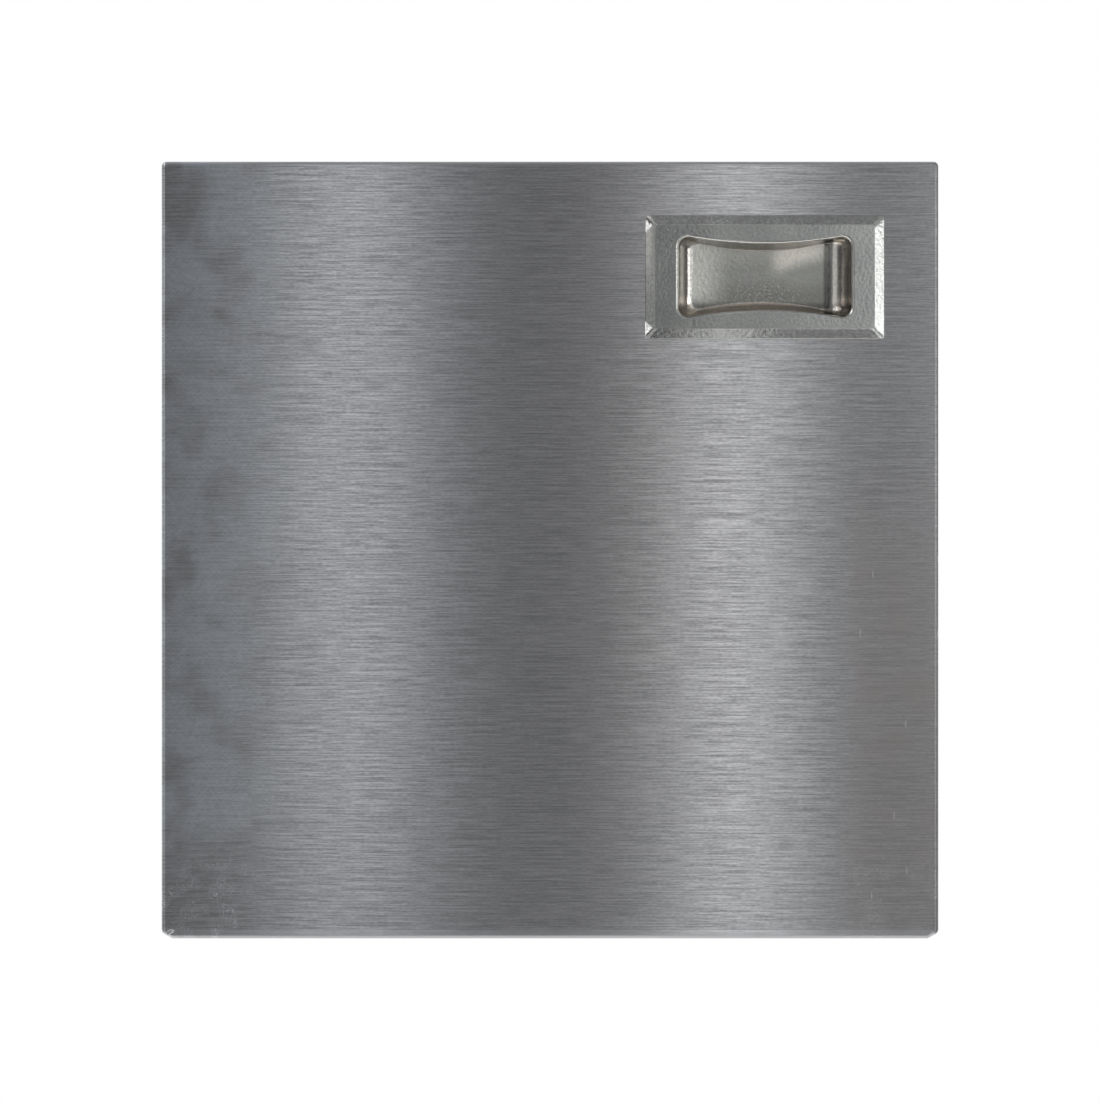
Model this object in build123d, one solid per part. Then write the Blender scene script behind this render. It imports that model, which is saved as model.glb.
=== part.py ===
from build123d import *
import math
import os

# A grill cabinet door: a folded stainless pan with a stamped finger pull, a pressed liner closing its
# back, and two butt hinges hidden behind its left edge. Sizes are in millimetres.
# X runs to the right, Z runs up, and the front of the door faces -Y. The origin lies on the cabinet's
# face, midway between the two screw holes of the lower hinge.

# Door pan
DOOR_WIDTH = 413.0
DOOR_HEIGHT = 413.0
DOOR_DEPTH = 22.0  # front face to the back of the folded lips
SKIN_SHEET = 1.0
FOLD_INSIDE_R = 1.2
CORNER_EXTRA_R = 0.4  # the ground corners are a little rounder than the folds
CLIP_WIDTH = 5.6  # clipped bottom corners
CLIP_HEIGHT = 3.2
LIP_WIDTH = 28.0  # lips turned in behind the pan, from the outside of the door
LIP_CORNER_R = 3.0
MITRE_GAP = 0.6
MITRE_STOP = 7.0  # whole corner left outside each mitre slit

# Inner liner
LINER_SHEET = 0.8
LINER_INSET = 8.0  # edge of the door to edge of the liner
LINER_CORNER_R = 6.0
DISH_CLEARANCE = 2.5  # edge of the lips to mouth of the pressed dish
DISH_DEPTH = 4.0
DISH_RUN = 4.0  # width of the dish's sloping wall
DISH_FLOOR_R = 12.0
DISH_BEND_R = 1.5

# Stamped pull
PULL_FROM_RIGHT = 92.4  # right edge of the door to the middle of the pull
PULL_FROM_TOP = 61.5
PULL_WIDTH = 127.0
PULL_HEIGHT = 65.5
PULL_SHEET = 0.8
PULL_EDGE = 0.5  # upright cut edge of the flange
BEVEL_RUN = 5.2
BEVEL_RISE = 2.1
BEVEL_CORNER_R = 6.0  # rounding where two bevels meet
PULL_SIDE = 17.5  # end of the flange to the mouth of the finger cup
PULL_BAND = 10.55  # top of the flange to the ends of the cup's mouth
CUP_BOW = 4.7  # how far each long side of the cup bows in to the waist
CUP_CORNER_R = 5.2  # corners of the cup's mouth
CUP_FLOOR_CORNER_R = 4.0
CUP_DEPTH = 14.0
CUP_LEFT_RUN = 8.6  # mouth to floor: steep on the left and above, where fingers hook
CUP_RIGHT_RUN = 13.1  # and drawn out on the right, where they come in
CUP_UPPER_RUN = 3.0
CUP_LOWER_RUN = 5.5
CUP_SECTIONS = 4  # steps of the curved wall from mouth to floor
CUP_RIM_R = 1.6  # bend from plateau to wall
CUTOUT_CLEARANCE = 1.2
CUTOUT_CORNER_R = 6.0

# Pull fasteners
STUD_R = 2.0
STUD_HEIGHT = 14.0  # middle of the pull to each row of studs
STUD_SPARE = 1.2  # stud end standing past its nut
STUD_HOLE_CLEARANCE = 0.25
THREAD_CLEARANCE = 0.05
NUT_ACROSS_FLATS = 7.0
NUT_HEIGHT = 3.2
NUT_FLANGE_R = 4.2
NUT_FLANGE_HEIGHT = 0.9

# Stiffener between skin and liner
STIFFENER_SHEET = 1.0
STIFFENER_CROWN = 24.0
STIFFENER_FLANGE = 12.0
STIFFENER_BEND_R = 1.0
STIFFENER_END_GAP = 3.0

# Hinges
LEAF_SHEET = 2.0
LEAF_WIDTH = 24.5  # pin axis to free edge
LEAF_CORNER_R = 4.0
HINGE_HEIGHT = 64.0
HINGE_FROM_END = 60.0  # end of the door to the middle of the hinge
PIN_R = 1.5
PIN_CLEARANCE = 0.05
KNUCKLE_INSET = 0.1  # left edge of the door to the outside of the knuckles
END_KNUCKLE = 18.0  # length of each outer knuckle
KNUCKLE_SEAM = 0.3  # gap where the rolled knuckle closes on its leaf
NOTCH_CLEARANCE = 0.6
HOLE_TO_AXIS = 14.5
FRAME_HOLE_FROM_END = 14.0  # end of the hinge to the screw holes of its cabinet leaf
DOOR_HOLE_FROM_END = 9.0  # staggered, so that no screw head faces another
PIN_HEAD_R = 2.7
PIN_HEAD_HEIGHT = 1.4
PIN_PEEN_R = 2.2
PIN_PEEN_HEIGHT = 0.8
WASHER_SHEET = 0.8
WASHER_R = 3.4
WASHER_BORE_CLEARANCE = 0.15
WASHER_PLAY = 0.1

# Hinge screws and their backing plates
SCREW_R = 2.0
SCREW_LENGTH = 8.0
SCREW_HOLE_CLEARANCE = 0.2
SINK_DEPTH = 1.5  # depth of the countersink
SOCKET_ACROSS_FLATS = 2.5
SOCKET_DEPTH = 1.1
BACKING_SHEET = 3.0
BACKING_EDGE = 2.0  # plate held back from the edge of the lip
BACKING_SHORTER = 8.0  # plate shorter than the hinge
BACKING_CORNER_R = 2.0

# Rivets
RIVET_R = 1.6
RIVET_HEAD_R = 3.2
RIVET_HEAD_HEIGHT = 1.0
RIVET_BULB_R = 2.3
RIVET_BULB_HEIGHT = 3.0
RIVET_CLEARANCE = 0.05
MANDREL_R = 0.9
MANDREL_DEPTH = 0.4

# Magnet strike and bumpers on the latch side
STRIKE_FROM_TOP = 92.0
STRIKE_WIDTH = 16.0
STRIKE_PAD = 24.0
STRIKE_FLANGE = 10.0
STRIKE_SHEET = 1.2
STRIKE_BEND_R = 0.8
STRIKE_GAP = 1.0  # pad to the face of the cabinet
BUMPER_FROM_END = 37.0
BUMPER_R = 6.0
BUMPER_DRAFT = 0.6
BUMPER_DOME = 1.6
BUMPER_STEM_R = 2.4
BUMPER_STEM_CLEARANCE = 0.1
BUMPER_BARB_R = 3.1
BUMPER_BARB_HEIGHT = 3.4
BUMPER_TIP_R = 1.7

# Depths, counted from the cabinet's face at 0 towards the front of the door
KNUCKLE_R = PIN_R + PIN_CLEARANCE + LEAF_SHEET
AXIS_Y = -KNUCKLE_R
LINER_BACK = -2 * KNUCKLE_R
LIP_BACK = LINER_BACK - LINER_SHEET
LIP_FRONT = LIP_BACK - SKIN_SHEET
SKIN_FRONT = LIP_BACK - DOOR_DEPTH
SKIN_BACK = SKIN_FRONT + SKIN_SHEET
DISH_FRONT = LINER_BACK - DISH_DEPTH - LINER_SHEET
EDGE_FRONT = SKIN_FRONT - PULL_EDGE
PLATEAU_FRONT = EDGE_FRONT - BEVEL_RISE
PLATEAU_BACK = PLATEAU_FRONT + PULL_SHEET

# Places across the door
AXIS_X = -HOLE_TO_AXIS
DOOR_LEFT = AXIS_X - KNUCKLE_R - KNUCKLE_INSET
DOOR_RIGHT = DOOR_LEFT + DOOR_WIDTH
CENTRE_X = DOOR_LEFT + DOOR_WIDTH / 2
DOOR_BOTTOM = -HINGE_FROM_END
DOOR_TOP = DOOR_BOTTOM + DOOR_HEIGHT
CENTRE_Z = DOOR_BOTTOM + DOOR_HEIGHT / 2
HINGE_ZS = {"lower": 0.0, "upper": DOOR_TOP - HINGE_FROM_END}
PULL_X = DOOR_RIGHT - PULL_FROM_RIGHT
PULL_Z = DOOR_TOP - PULL_FROM_TOP
PLATEAU_WIDTH = PULL_WIDTH - 2 * BEVEL_RUN
PLATEAU_HEIGHT = PULL_HEIGHT - 2 * BEVEL_RUN
CUP_WIDTH = PULL_WIDTH - 2 * PULL_SIDE
CUP_END_HEIGHT = PULL_HEIGHT - 2 * PULL_BAND
STUD_X = (CUP_WIDTH + PLATEAU_WIDTH) / 4
STIFFENER_X = (DOOR_LEFT + PULL_X - PULL_WIDTH / 2) / 2
RIM_MIDDLE = (LINER_INSET + LIP_WIDTH) / 2  # edge of the door to the line of rivets
LATCH_X = DOOR_RIGHT - RIM_MIDDLE
STRIKE_Z = DOOR_TOP - STRIKE_FROM_TOP
STRIKE_RIVET_Z = (STRIKE_PAD + STRIKE_FLANGE) / 2
BUMPER_ZS = {"lower": DOOR_BOTTOM + BUMPER_FROM_END, "upper": DOOR_TOP - BUMPER_FROM_END}
FRAME_HOLE_SPACING = HINGE_HEIGHT - 2 * FRAME_HOLE_FROM_END
DOOR_HOLE_SPACING = HINGE_HEIGHT - 2 * DOOR_HOLE_FROM_END

# Radii that follow from the sheets they belong to
FOLD_R = FOLD_INSIDE_R + SKIN_SHEET
CORNER_R = FOLD_R + CORNER_EXTRA_R
LEAF_HOLE_R = SCREW_R + SCREW_HOLE_CLEARANCE
SINK_R = LEAF_HOLE_R + SINK_DEPTH
LIP_GRIP = LINER_SHEET + SKIN_SHEET  # thickness that rivets and bumper stems pass through

TOUCH = 0.01  # two places nearer than this are the same place
FRONT = (0, -1, 0)
BACK = (0, 1, 0)
CORNERS = [(-1, -1), (1, -1), (1, 1), (-1, 1)]


def facing_front(depth):
    """Drawing plane square to Y at a depth: right is +X, up is +Z, out of the page is the front."""
    return Plane(origin=(0, depth, 0), x_dir=(1, 0, 0), z_dir=FRONT)


def on_back(x, depth, z):
    """Place for a turned piece whose own Z axis points out of the back of the door."""
    return Plane(origin=(x, depth, z), x_dir=(1, 0, 0), z_dir=BACK).location


def slab(outline, back, front):
    """Outline drawn in X and Z, given thickness from its back depth to its front depth."""
    return extrude(facing_front(back) * outline, amount=back - front, dir=FRONT)


def folded_slab(outline, back, front, radius):
    """Slab whose front and back edges are rounded like a fold."""
    block = slab(outline, back, front)
    faces = block.faces().sort_by(Axis.Y)
    return fillet(faces[0].edges() + faces[-1].edges(), radius)


def door_rectangle(inset, radius):
    """Rounded rectangle that stands inside the door's edges by the same distance all round."""
    sketch = RectangleRounded(DOOR_WIDTH - 2 * inset, DOOR_HEIGHT - 2 * inset, radius)
    return Pos(CENTRE_X, CENTRE_Z) * sketch


def turned(profile):
    """Solid of revolution about Z from a closed profile of radius and height."""
    return revolve(Plane.XZ * make_face(Polyline(*profile, close=True)), Axis.Z)


def dome(radius, height):
    """Cap of a sphere, flat side on the ground, with a given radius there and a given height."""
    sphere_r = (radius**2 + height**2) / (2 * height)
    ball = Pos(0, 0, height - sphere_r) * Sphere(sphere_r)
    return split(ball, bisect_by=Plane.XY, keep=Keep.TOP)


def hat_section(crown, depth, flange, sheet, bend_r):
    """Hat section with its flanges along the X axis and its crown at the given depth."""
    foot = (Align.CENTER, Align.MIN)
    section = Rectangle(crown + 2 * flange, sheet, align=foot)
    section += Rectangle(crown, depth, align=foot)
    section -= Rectangle(crown - 2 * sheet, depth - sheet, align=foot)
    wall = crown / 2
    outside = [(wall, depth), (wall - sheet, 0)]
    inside = [(wall - sheet, depth - sheet), (wall, sheet)]
    for places, radius in ((outside, bend_r + sheet), (inside, bend_r)):
        bends = [
            corner
            for corner in section.vertices()
            if any(math.hypot(abs(corner.X) - x, corner.Y - y) < TOUCH for x, y in places)
        ]
        section = fillet(bends, radius)
    return section


def inner_edges(solid, depth, x, z, width, height):
    """Edges that lie flat at a depth, strictly inside a rectangle about x and z."""
    found = []
    for edge in solid.edges().filter_by_position(Axis.Y, depth - TOUCH, depth + TOUCH):
        level = edge.bounding_box().size.Y < TOUCH
        middle = edge.center()
        if level and abs(middle.X - x) < width / 2 - TOUCH and abs(middle.Z - z) < height / 2 - TOUCH:
            found.append(edge)
    return found


def rivet_spots():
    """Rivets at the four corners of the rim and at the middle of each side."""
    across = DOOR_WIDTH / 2 - RIM_MIDDLE
    up = DOOR_HEIGHT / 2 - RIM_MIDDLE
    middles = [(0, -1), (1, 0), (0, 1), (-1, 0)]
    return [(CENTRE_X + i * across, CENTRE_Z + j * up) for i, j in CORNERS + middles]


def strike_rivet_spots():
    return [(LATCH_X, STRIKE_Z + side * STRIKE_RIVET_Z) for side in (-1, 1)]


def screw_spots(hinge_z):
    """Screws of a door leaf: the screw column of each hinge stands on x = 0."""
    return [(0, hinge_z + side * DOOR_HOLE_SPACING / 2) for side in (-1, 1)]


def stud_spots():
    return [(PULL_X + i * STUD_X, PULL_Z + j * STUD_HEIGHT) for i, j in CORNERS]


def rim_holes():
    """Every hole that goes through both the liner's rim and the lips."""
    holes = [(spot, RIVET_R + RIVET_CLEARANCE) for spot in rivet_spots() + strike_rivet_spots()]
    for hinge_z in HINGE_ZS.values():
        holes += [(spot, LEAF_HOLE_R) for spot in screw_spots(hinge_z)]
    holes += [((LATCH_X, z), BUMPER_STEM_R + BUMPER_STEM_CLEARANCE) for z in BUMPER_ZS.values()]
    return [slab(Pos(x, z) * Circle(radius), LINER_BACK, LIP_FRONT) for (x, z), radius in holes]


def pan_outline():
    """Outline of the pan: square top corners, clipped bottom corners, all ground round."""
    corners = [
        (DOOR_LEFT + CLIP_WIDTH, DOOR_BOTTOM),
        (DOOR_RIGHT - CLIP_WIDTH, DOOR_BOTTOM),
        (DOOR_RIGHT, DOOR_BOTTOM + CLIP_HEIGHT),
        (DOOR_RIGHT, DOOR_TOP),
        (DOOR_LEFT, DOOR_TOP),
        (DOOR_LEFT, DOOR_BOTTOM + CLIP_HEIGHT),
    ]
    outline = make_face(Polyline(*corners, close=True))
    return fillet(outline.vertices(), CORNER_R)


def mitre_slits():
    """Slits along the diagonals, where the lips of two sides meet."""
    reach = LIP_WIDTH + MITRE_GAP
    length = (reach - MITRE_STOP) * math.sqrt(2)
    inset = (reach + MITRE_STOP) / 2
    slits = []
    for i, j in CORNERS:
        spot = Pos(CENTRE_X + i * (DOOR_WIDTH / 2 - inset), CENTRE_Z + j * (DOOR_HEIGHT / 2 - inset))
        slit = spot * Rot(0, 0, 45 * i * j) * SlotOverall(length, MITRE_GAP)
        slits.append(slab(slit, LIP_BACK, LIP_FRONT))
    return slits


def door_skin():
    """Front face, four walls and four lips, folded from one sheet."""
    outline = pan_outline()
    pan = folded_slab(outline, LIP_BACK, SKIN_FRONT, FOLD_R)
    pan -= folded_slab(offset(outline, amount=-SKIN_SHEET), LIP_FRONT, SKIN_BACK, FOLD_INSIDE_R)
    pan -= slab(door_rectangle(LIP_WIDTH, LIP_CORNER_R), LIP_BACK, LIP_FRONT)
    pan -= mitre_slits()
    pan -= rim_holes()
    cup_space = 2 * (PULL_SHEET + CUTOUT_CLEARANCE)
    cutout = RectangleRounded(CUP_WIDTH + cup_space, CUP_END_HEIGHT + cup_space, CUTOUT_CORNER_R)
    pan -= slab(Pos(PULL_X, PULL_Z) * cutout, SKIN_BACK, SKIN_FRONT)
    stud_hole = Circle(STUD_R + STUD_HOLE_CLEARANCE)
    pan -= [slab(Pos(x, z) * stud_hole, SKIN_BACK, SKIN_FRONT) for x, z in stud_spots()]
    return pan


def dish_block(back, grow):
    """Tapered block of the liner's dish, its mouth at a depth and its outline grown by the sheet."""
    mouth_inset = LIP_WIDTH + DISH_CLEARANCE - grow
    mouth = door_rectangle(mouth_inset, DISH_FLOOR_R + DISH_RUN + grow)
    floor = door_rectangle(mouth_inset + DISH_RUN, DISH_FLOOR_R + grow)
    return loft([facing_front(back) * mouth, facing_front(back - DISH_DEPTH) * floor], ruled=True)


def inner_liner():
    """Flat rim on the lips, with a shallow dish pressed towards the front."""
    bend_outside = DISH_BEND_R + LINER_SHEET
    slant = math.hypot(DISH_RUN, DISH_DEPTH)
    grow = LINER_SHEET * (slant - DISH_RUN) / DISH_DEPTH
    hollow = dish_block(LINER_BACK, 0)
    hollow = fillet(hollow.faces().sort_by(Axis.Y)[0].edges(), DISH_BEND_R)
    pressed = dish_block(LIP_BACK, grow)
    pressed = fillet(pressed.faces().sort_by(Axis.Y)[0].edges(), bend_outside)
    liner = slab(door_rectangle(LINER_INSET, LINER_CORNER_R), LINER_BACK, LIP_BACK)
    liner = liner + pressed - hollow
    lip_opening = (DOOR_WIDTH - 2 * LIP_WIDTH, DOOR_HEIGHT - 2 * LIP_WIDTH)
    for depth, radius in ((LINER_BACK, bend_outside), (LIP_BACK, DISH_BEND_R)):
        liner = fillet(inner_edges(liner, depth, CENTRE_X, CENTRE_Z, *lip_opening), radius)
    return liner - rim_holes()


def cup_outline(turn, grow):
    """Outline of the finger cup, bowed in to a waist, where its walls have turned by an angle."""
    inset = 1 - math.cos(turn)
    left = -CUP_WIDTH / 2 + CUP_LEFT_RUN * inset - grow
    right = CUP_WIDTH / 2 - CUP_RIGHT_RUN * inset + grow
    bottom = -CUP_END_HEIGHT / 2 + CUP_LOWER_RUN * inset - grow
    top = CUP_END_HEIGHT / 2 - CUP_UPPER_RUN * inset + grow
    waist = (left + right) / 2
    sides = [
        ThreePointArc((left, bottom), (waist, bottom + CUP_BOW), (right, bottom)),
        Line((right, bottom), (right, top)),
        ThreePointArc((right, top), (waist, top - CUP_BOW), (left, top)),
        Line((left, top), (left, bottom)),
    ]
    corner_r = CUP_CORNER_R + (CUP_FLOOR_CORNER_R - CUP_CORNER_R) * inset + grow
    return Pos(PULL_X, PULL_Z) * fillet(make_face(sides).vertices(), corner_r)


def cup_block(floor_depth, grow):
    """Block that fills the cup: its walls turn a quarter of an ellipse, from the mouth to the floor."""
    sections = []
    for step in range(CUP_SECTIONS + 1):
        turn = math.pi / 2 * step / CUP_SECTIONS
        depth = PLATEAU_FRONT + (floor_depth - PLATEAU_FRONT) * math.sin(turn)
        sections.append(facing_front(depth) * cup_outline(turn, grow))
    return loft(sections)


def pull_rectangle(inset):
    """Rectangle inside the outline of the pull's flange by the same distance all round."""
    return Pos(PULL_X, PULL_Z) * Rectangle(PULL_WIDTH - 2 * inset, PULL_HEIGHT - 2 * inset)


def pull_cup():
    """Raised bevelled flange and dog-bone finger cup, stamped from one sheet."""
    full = pull_rectangle(0)
    flange = slab(full, SKIN_FRONT, EDGE_FRONT)
    flange += loft(
        [facing_front(EDGE_FRONT) * full, facing_front(PLATEAU_FRONT) * pull_rectangle(BEVEL_RUN)],
        ruled=True,
    )
    mitres = [edge for edge in flange.edges() if abs(edge.bounding_box().size.Y - BEVEL_RISE) < TOUCH]
    flange = fillet(mitres, BEVEL_CORNER_R)
    bevel_angle = math.atan2(BEVEL_RISE, BEVEL_RUN)
    under_plateau = BEVEL_RUN + PULL_SHEET * math.tan(bevel_angle / 2)
    under_edge = under_plateau - (SKIN_FRONT - PLATEAU_BACK) / math.tan(bevel_angle)
    flange -= loft(
        [
            facing_front(PLATEAU_BACK) * pull_rectangle(under_plateau),
            facing_front(SKIN_FRONT) * pull_rectangle(under_edge),
        ],
        ruled=True,
    )
    floor = PLATEAU_FRONT + CUP_DEPTH
    pull = flange + cup_block(floor + PULL_SHEET, PULL_SHEET) - cup_block(floor, 0)
    rim = inner_edges(pull, PLATEAU_FRONT, PULL_X, PULL_Z, PLATEAU_WIDTH, PLATEAU_HEIGHT)
    return fillet(rim, CUP_RIM_R)


def pull_studs():
    """Weld studs from the back of the pull's plateau to just past their nuts."""
    end = SKIN_BACK + NUT_HEIGHT + STUD_SPARE
    return [slab(Pos(x, z) * Circle(STUD_R), end, PLATEAU_BACK) for x, z in stud_spots()]


def pull_nuts():
    """Hexagon nuts with a round flange, tight on the inside of the skin."""
    hexagon = RegularPolygon(NUT_ACROSS_FLATS / 2, 6, major_radius=False)
    nuts = []
    for x, z in stud_spots():
        nut = slab(Pos(x, z) * Circle(NUT_FLANGE_R), SKIN_BACK + NUT_FLANGE_HEIGHT, SKIN_BACK)
        nut += slab(Pos(x, z) * hexagon, SKIN_BACK + NUT_HEIGHT, SKIN_BACK)
        nut -= slab(Pos(x, z) * Circle(STUD_R + THREAD_CLEARANCE), SKIN_BACK + NUT_HEIGHT, SKIN_BACK)
        nuts.append(nut)
    return nuts


def stiffener_channel():
    """Hat channel welded to the skin, its crown against the liner's dish."""
    depth = DISH_FRONT - SKIN_BACK
    section = hat_section(STIFFENER_CROWN, depth, STIFFENER_FLANGE, STIFFENER_SHEET, STIFFENER_BEND_R)
    foot = DOOR_BOTTOM + SKIN_SHEET + STIFFENER_END_GAP
    length = DOOR_HEIGHT - 2 * (SKIN_SHEET + STIFFENER_END_GAP)
    return extrude(Pos(STIFFENER_X, SKIN_BACK, foot) * section, amount=length)


def blind_rivet(x, depth, z, grip):
    """Dome-headed blind rivet through a grip, seated with its head at a depth."""
    tail = -grip - RIVET_BULB_HEIGHT
    profile = [
        (0, tail),
        (RIVET_BULB_R, tail),
        (RIVET_BULB_R, -grip),
        (RIVET_R, -grip),
        (RIVET_R, 0),
        (0, 0),
    ]
    mandrel_floor = Plane.XY.offset(RIVET_HEAD_HEIGHT - MANDREL_DEPTH)
    rivet = turned(profile) + dome(RIVET_HEAD_R, RIVET_HEAD_HEIGHT)
    rivet -= extrude(mandrel_floor * Circle(MANDREL_R), amount=MANDREL_DEPTH)
    return on_back(x, depth, z) * rivet


def liner_rivets():
    return [blind_rivet(x, LINER_BACK, z, LIP_GRIP) for x, z in rivet_spots()]


def strike_rivets():
    head_seat = LINER_BACK + STRIKE_SHEET
    return [blind_rivet(x, head_seat, z, STRIKE_SHEET + LIP_GRIP) for x, z in strike_rivet_spots()]


def strike_plate():
    """Pressed hat of steel that holds its pad out to a magnetic catch."""
    depth = -STRIKE_GAP - LINER_BACK
    section = hat_section(STRIKE_PAD, depth, STRIKE_FLANGE, STRIKE_SHEET, STRIKE_BEND_R)
    side = Plane(
        origin=(LATCH_X + STRIKE_WIDTH / 2, LINER_BACK, STRIKE_Z), x_dir=(0, 0, 1), z_dir=(-1, 0, 0)
    )
    plate = extrude(side * section, amount=STRIKE_WIDTH, dir=(-1, 0, 0))
    holes = [
        slab(Pos(x, z) * Circle(RIVET_R + RIVET_CLEARANCE), LINER_BACK + STRIKE_SHEET, LINER_BACK)
        for x, z in strike_rivet_spots()
    ]
    return plate - holes


def bumper(z):
    """Push-in rubber bumper: a drafted, domed head that meets the cabinet, a stem and a barb."""
    shoulder = -LINER_BACK - BUMPER_DOME
    profile = [
        (0, -LIP_GRIP - BUMPER_BARB_HEIGHT),
        (BUMPER_TIP_R, -LIP_GRIP - BUMPER_BARB_HEIGHT),
        (BUMPER_BARB_R, -LIP_GRIP),
        (BUMPER_STEM_R, -LIP_GRIP),
        (BUMPER_STEM_R, 0),
        (BUMPER_R, 0),
        (BUMPER_R - BUMPER_DRAFT, shoulder),
        (0, shoulder),
    ]
    body = turned(profile) + Pos(0, 0, shoulder) * dome(BUMPER_R - BUMPER_DRAFT, BUMPER_DOME)
    return on_back(LATCH_X, LINER_BACK, z) * body


def backing_plate(hinge_z):
    """Tapped plate inside the lip, behind the screws of a hinge."""
    screws_to_lip_edge = LIP_WIDTH + DOOR_LEFT
    outline = RectangleRounded(
        2 * (screws_to_lip_edge - BACKING_EDGE), HINGE_HEIGHT - BACKING_SHORTER, BACKING_CORNER_R
    )
    outline = Pos(0, hinge_z) * outline
    outline -= [Pos(x, z) * Circle(SCREW_R + THREAD_CLEARANCE) for x, z in screw_spots(hinge_z)]
    return slab(outline, LIP_FRONT, LIP_FRONT - BACKING_SHEET)


def leaf_screws(hinge_z):
    """Countersunk socket screws, flush with the inside of the door leaf."""
    profile = [
        (0, -SCREW_LENGTH),
        (SCREW_R, -SCREW_LENGTH),
        (SCREW_R, -SINK_DEPTH),
        (LEAF_HOLE_R, -SINK_DEPTH),
        (SINK_R, 0),
        (0, 0),
    ]
    socket = RegularPolygon(SOCKET_ACROSS_FLATS / 2, 6, major_radius=False)
    screw = turned(profile) - extrude(socket, amount=-SOCKET_DEPTH)
    head_depth = LINER_BACK + LEAF_SHEET
    return [on_back(x, head_depth, z) * screw for x, z in screw_spots(hinge_z)]


def knuckle_notch(low, high):
    """Space cleared in one leaf for the other leaf's knuckle, from a low to a high place on the pin."""
    reach = 2 * KNUCKLE_R + NOTCH_CLEARANCE
    place = (Align.MIN, Align.CENTER, Align.MIN)
    return Pos(-KNUCKLE_R, 0, low) * Box(reach, 2 * KNUCKLE_R, high - low, align=place)


def hinge_leaf(notches, hole_spacing):
    """Leaf about a pin along Z at the origin: a plate on the +Y side, rolled round into knuckles."""
    bore_r = KNUCKLE_R - LEAF_SHEET
    plate_place = (Align.MIN, Align.MIN)
    section = Circle(KNUCKLE_R)
    section += Pos(0, bore_r) * Rectangle(LEAF_WIDTH, LEAF_SHEET, align=plate_place)
    section -= Circle(bore_r)
    section -= Pos(0, bore_r - KNUCKLE_SEAM) * Rectangle(KNUCKLE_R, KNUCKLE_SEAM, align=plate_place)
    leaf = extrude(Pos(0, 0, -HINGE_HEIGHT / 2) * section, amount=HINGE_HEIGHT)
    leaf -= notches
    leaf = fillet(leaf.edges().filter_by(Axis.Y).group_by(Axis.X)[-1], LEAF_CORNER_R)
    sink = turned(
        [(0, -LEAF_SHEET), (LEAF_HOLE_R, -LEAF_SHEET), (LEAF_HOLE_R, -SINK_DEPTH), (SINK_R, 0), (0, 0)]
    )
    for side in (-1, 1):
        spot = (HOLE_TO_AXIS, bore_r, side * hole_spacing / 2)
        leaf -= Plane(origin=spot, x_dir=(1, 0, 0), z_dir=FRONT).location * sink
    return leaf


def frame_leaf(hinge_z):
    """Cabinet leaf: two outer knuckles, its back on the cabinet's face."""
    inner_end = HINGE_HEIGHT / 2 - END_KNUCKLE
    leaf = hinge_leaf([knuckle_notch(-inner_end, inner_end)], FRAME_HOLE_SPACING)
    return Pos(AXIS_X, AXIS_Y, hinge_z) * leaf


def door_leaf(hinge_z):
    """Door leaf: one middle knuckle, its back on the liner."""
    outer_end = HINGE_HEIGHT / 2
    inner_end = outer_end - END_KNUCKLE - WASHER_SHEET - 2 * WASHER_PLAY
    notches = [knuckle_notch(-outer_end, -inner_end), knuckle_notch(inner_end, outer_end)]
    leaf = hinge_leaf(notches, DOOR_HOLE_SPACING)
    return Pos(AXIS_X, AXIS_Y, hinge_z) * mirror(leaf, about=Plane.XZ)


def hinge_pin(hinge_z):
    """Pin with a domed head on top and a peened end below."""
    end = HINGE_HEIGHT / 2
    pin = Cylinder(PIN_R, HINGE_HEIGHT)
    pin += Pos(0, 0, end) * dome(PIN_HEAD_R, PIN_HEAD_HEIGHT)
    pin += Pos(0, 0, -end) * Rot(180, 0, 0) * dome(PIN_PEEN_R, PIN_PEEN_HEIGHT)
    return Pos(AXIS_X, AXIS_Y, hinge_z) * pin


def hinge_washers(hinge_z):
    """Thin washers between the outer knuckles and the middle one."""
    ring = Circle(WASHER_R) - Circle(PIN_R + WASHER_BORE_CLEARANCE)
    washer = extrude(ring, amount=WASHER_SHEET / 2, both=True)
    height = HINGE_HEIGHT / 2 - END_KNUCKLE - WASHER_PLAY - WASHER_SHEET / 2
    return [Pos(AXIS_X, AXIS_Y, hinge_z + side * height) * washer for side in (-1, 1)]


NODES = {
    "door_skin": door_skin(),
    "inner_liner": inner_liner(),
    "pull_cup": pull_cup(),
    "pull_studs": pull_studs(),
    "pull_nuts": pull_nuts(),
    "stiffener_channel": stiffener_channel(),
    "liner_rivets": liner_rivets(),
    "strike_plate": strike_plate(),
    "strike_rivets": strike_rivets(),
}
for level, hinge_z in HINGE_ZS.items():
    NODES[f"{level}_backing_plate"] = backing_plate(hinge_z)
    NODES[f"{level}_door_leaf"] = door_leaf(hinge_z)
    NODES[f"{level}_leaf_screws"] = leaf_screws(hinge_z)
    NODES[f"{level}_frame_leaf"] = frame_leaf(hinge_z)
    NODES[f"{level}_hinge_pin"] = hinge_pin(hinge_z)
    NODES[f"{level}_hinge_washers"] = hinge_washers(hinge_z)
    NODES[f"{level}_bumper"] = bumper(BUMPER_ZS[level])

os.makedirs("parts", exist_ok=True)
for node, piece in NODES.items():
    solid = Compound(piece) if isinstance(piece, list) else piece
    export_step(solid, f"parts/{node}.step")
    print(node, round(solid.volume, 1))
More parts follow.
